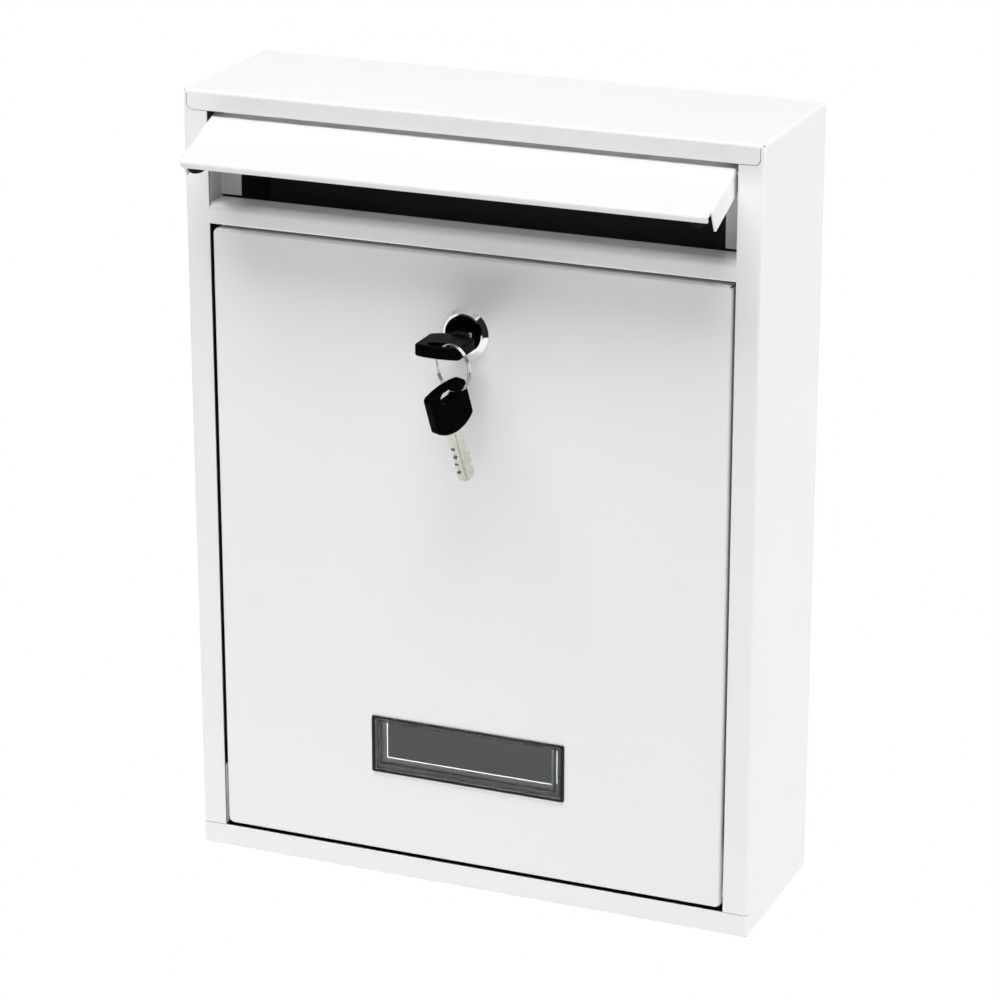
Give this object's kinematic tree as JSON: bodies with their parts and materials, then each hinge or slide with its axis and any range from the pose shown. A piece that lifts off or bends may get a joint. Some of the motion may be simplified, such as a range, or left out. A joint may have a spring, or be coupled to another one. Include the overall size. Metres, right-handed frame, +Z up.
{
  "type": "wall mounted post box",
  "caption": "Slim white sheet-steel post box for a wall, with a raised letter flap, a bottom-hinged door, a cam lock with keys on a ring and a clear name window.",
  "frame": {"origin": "centre of the four wall-fixing holes, on the outer face of the housing's back, which lies against the wall", "axes": "+X to the right seen from the front, +Y into the wall, +Z up along the box's height"},
  "size_m": [0.223, 0.1054, 0.3],
  "materials": {
    "white_coat": "semi-gloss white powder coat",
    "plated_steel": "bright zinc plated",
    "black_rubber": "moulded black rubber",
    "clear_plastic": "clear moulded plastic",
    "polished_chrome": "polished chrome",
    "black_plastic": "smooth black moulded plastic",
    "nickel_silver": "satin nickel plate"
  },
  "bodies": {
    "box": {"housing": "white_coat", "slot_frame": "white_coat", "cross_rail": "white_coat", "hinge_bracket_left": "white_coat", "hinge_bracket_right": "white_coat"},
    "flap": {"flap": "white_coat", "flap_pin_left": "plated_steel", "flap_pin_right": "plated_steel", "flap_buffer_left": "black_rubber", "flap_buffer_right": "black_rubber"},
    "door": {"door": "white_coat", "door_pin_left": "plated_steel", "door_pin_right": "plated_steel", "name_window": "clear_plastic", "lock_body": "polished_chrome", "lock_nut": "plated_steel"},
    "plug": {"lock_plug": "black_plastic", "lock_cam": "plated_steel", "cam_washer": "plated_steel", "cam_screw": "plated_steel"},
    "key": {"lock_key_bow": "black_plastic", "lock_key_blade": "nickel_silver"},
    "ring": {"key_ring": "polished_chrome"},
    "spare_key": {"spare_key_bow": "black_plastic", "spare_key_blade": "nickel_silver"}
  },
  "joints": [
    {"name": "flap_hinge", "type": "hinge", "parent": "box", "child": "flap", "pos_m": [0, -0.0665, 0.1383], "axis": [1, 0, 0], "range_deg": [-15, 69]},
    {"name": "door_hinge", "type": "hinge", "parent": "box", "child": "door", "pos_m": [0, -0.0655, -0.135], "axis": [1, 0, 0], "range_deg": [0, 110]},
    {"name": "lock_turn", "type": "hinge", "parent": "door", "child": "plug", "pos_m": [0, -0.069, 0.0703], "axis": [0, 1, 0], "range_deg": [0, 90]},
    {"name": "key_pull", "type": "slide", "parent": "plug", "child": "key", "axis": [0, -1, 0], "range_m": [0, 0.02]},
    {"name": "ring_swing", "type": "hinge", "parent": "key", "child": "ring", "pos_m": [0.0064, -0.09546, 0.07375], "axis": [0.9135, -0.4067, 0], "range_deg": [-6, 6]},
    {"name": "spare_key_swing", "type": "hinge", "parent": "ring", "child": "spare_key", "pos_m": [0.00483, -0.09476, 0.05713], "axis": [0.9135, -0.4067, 0], "range_deg": [-18, 12]}
  ]
}
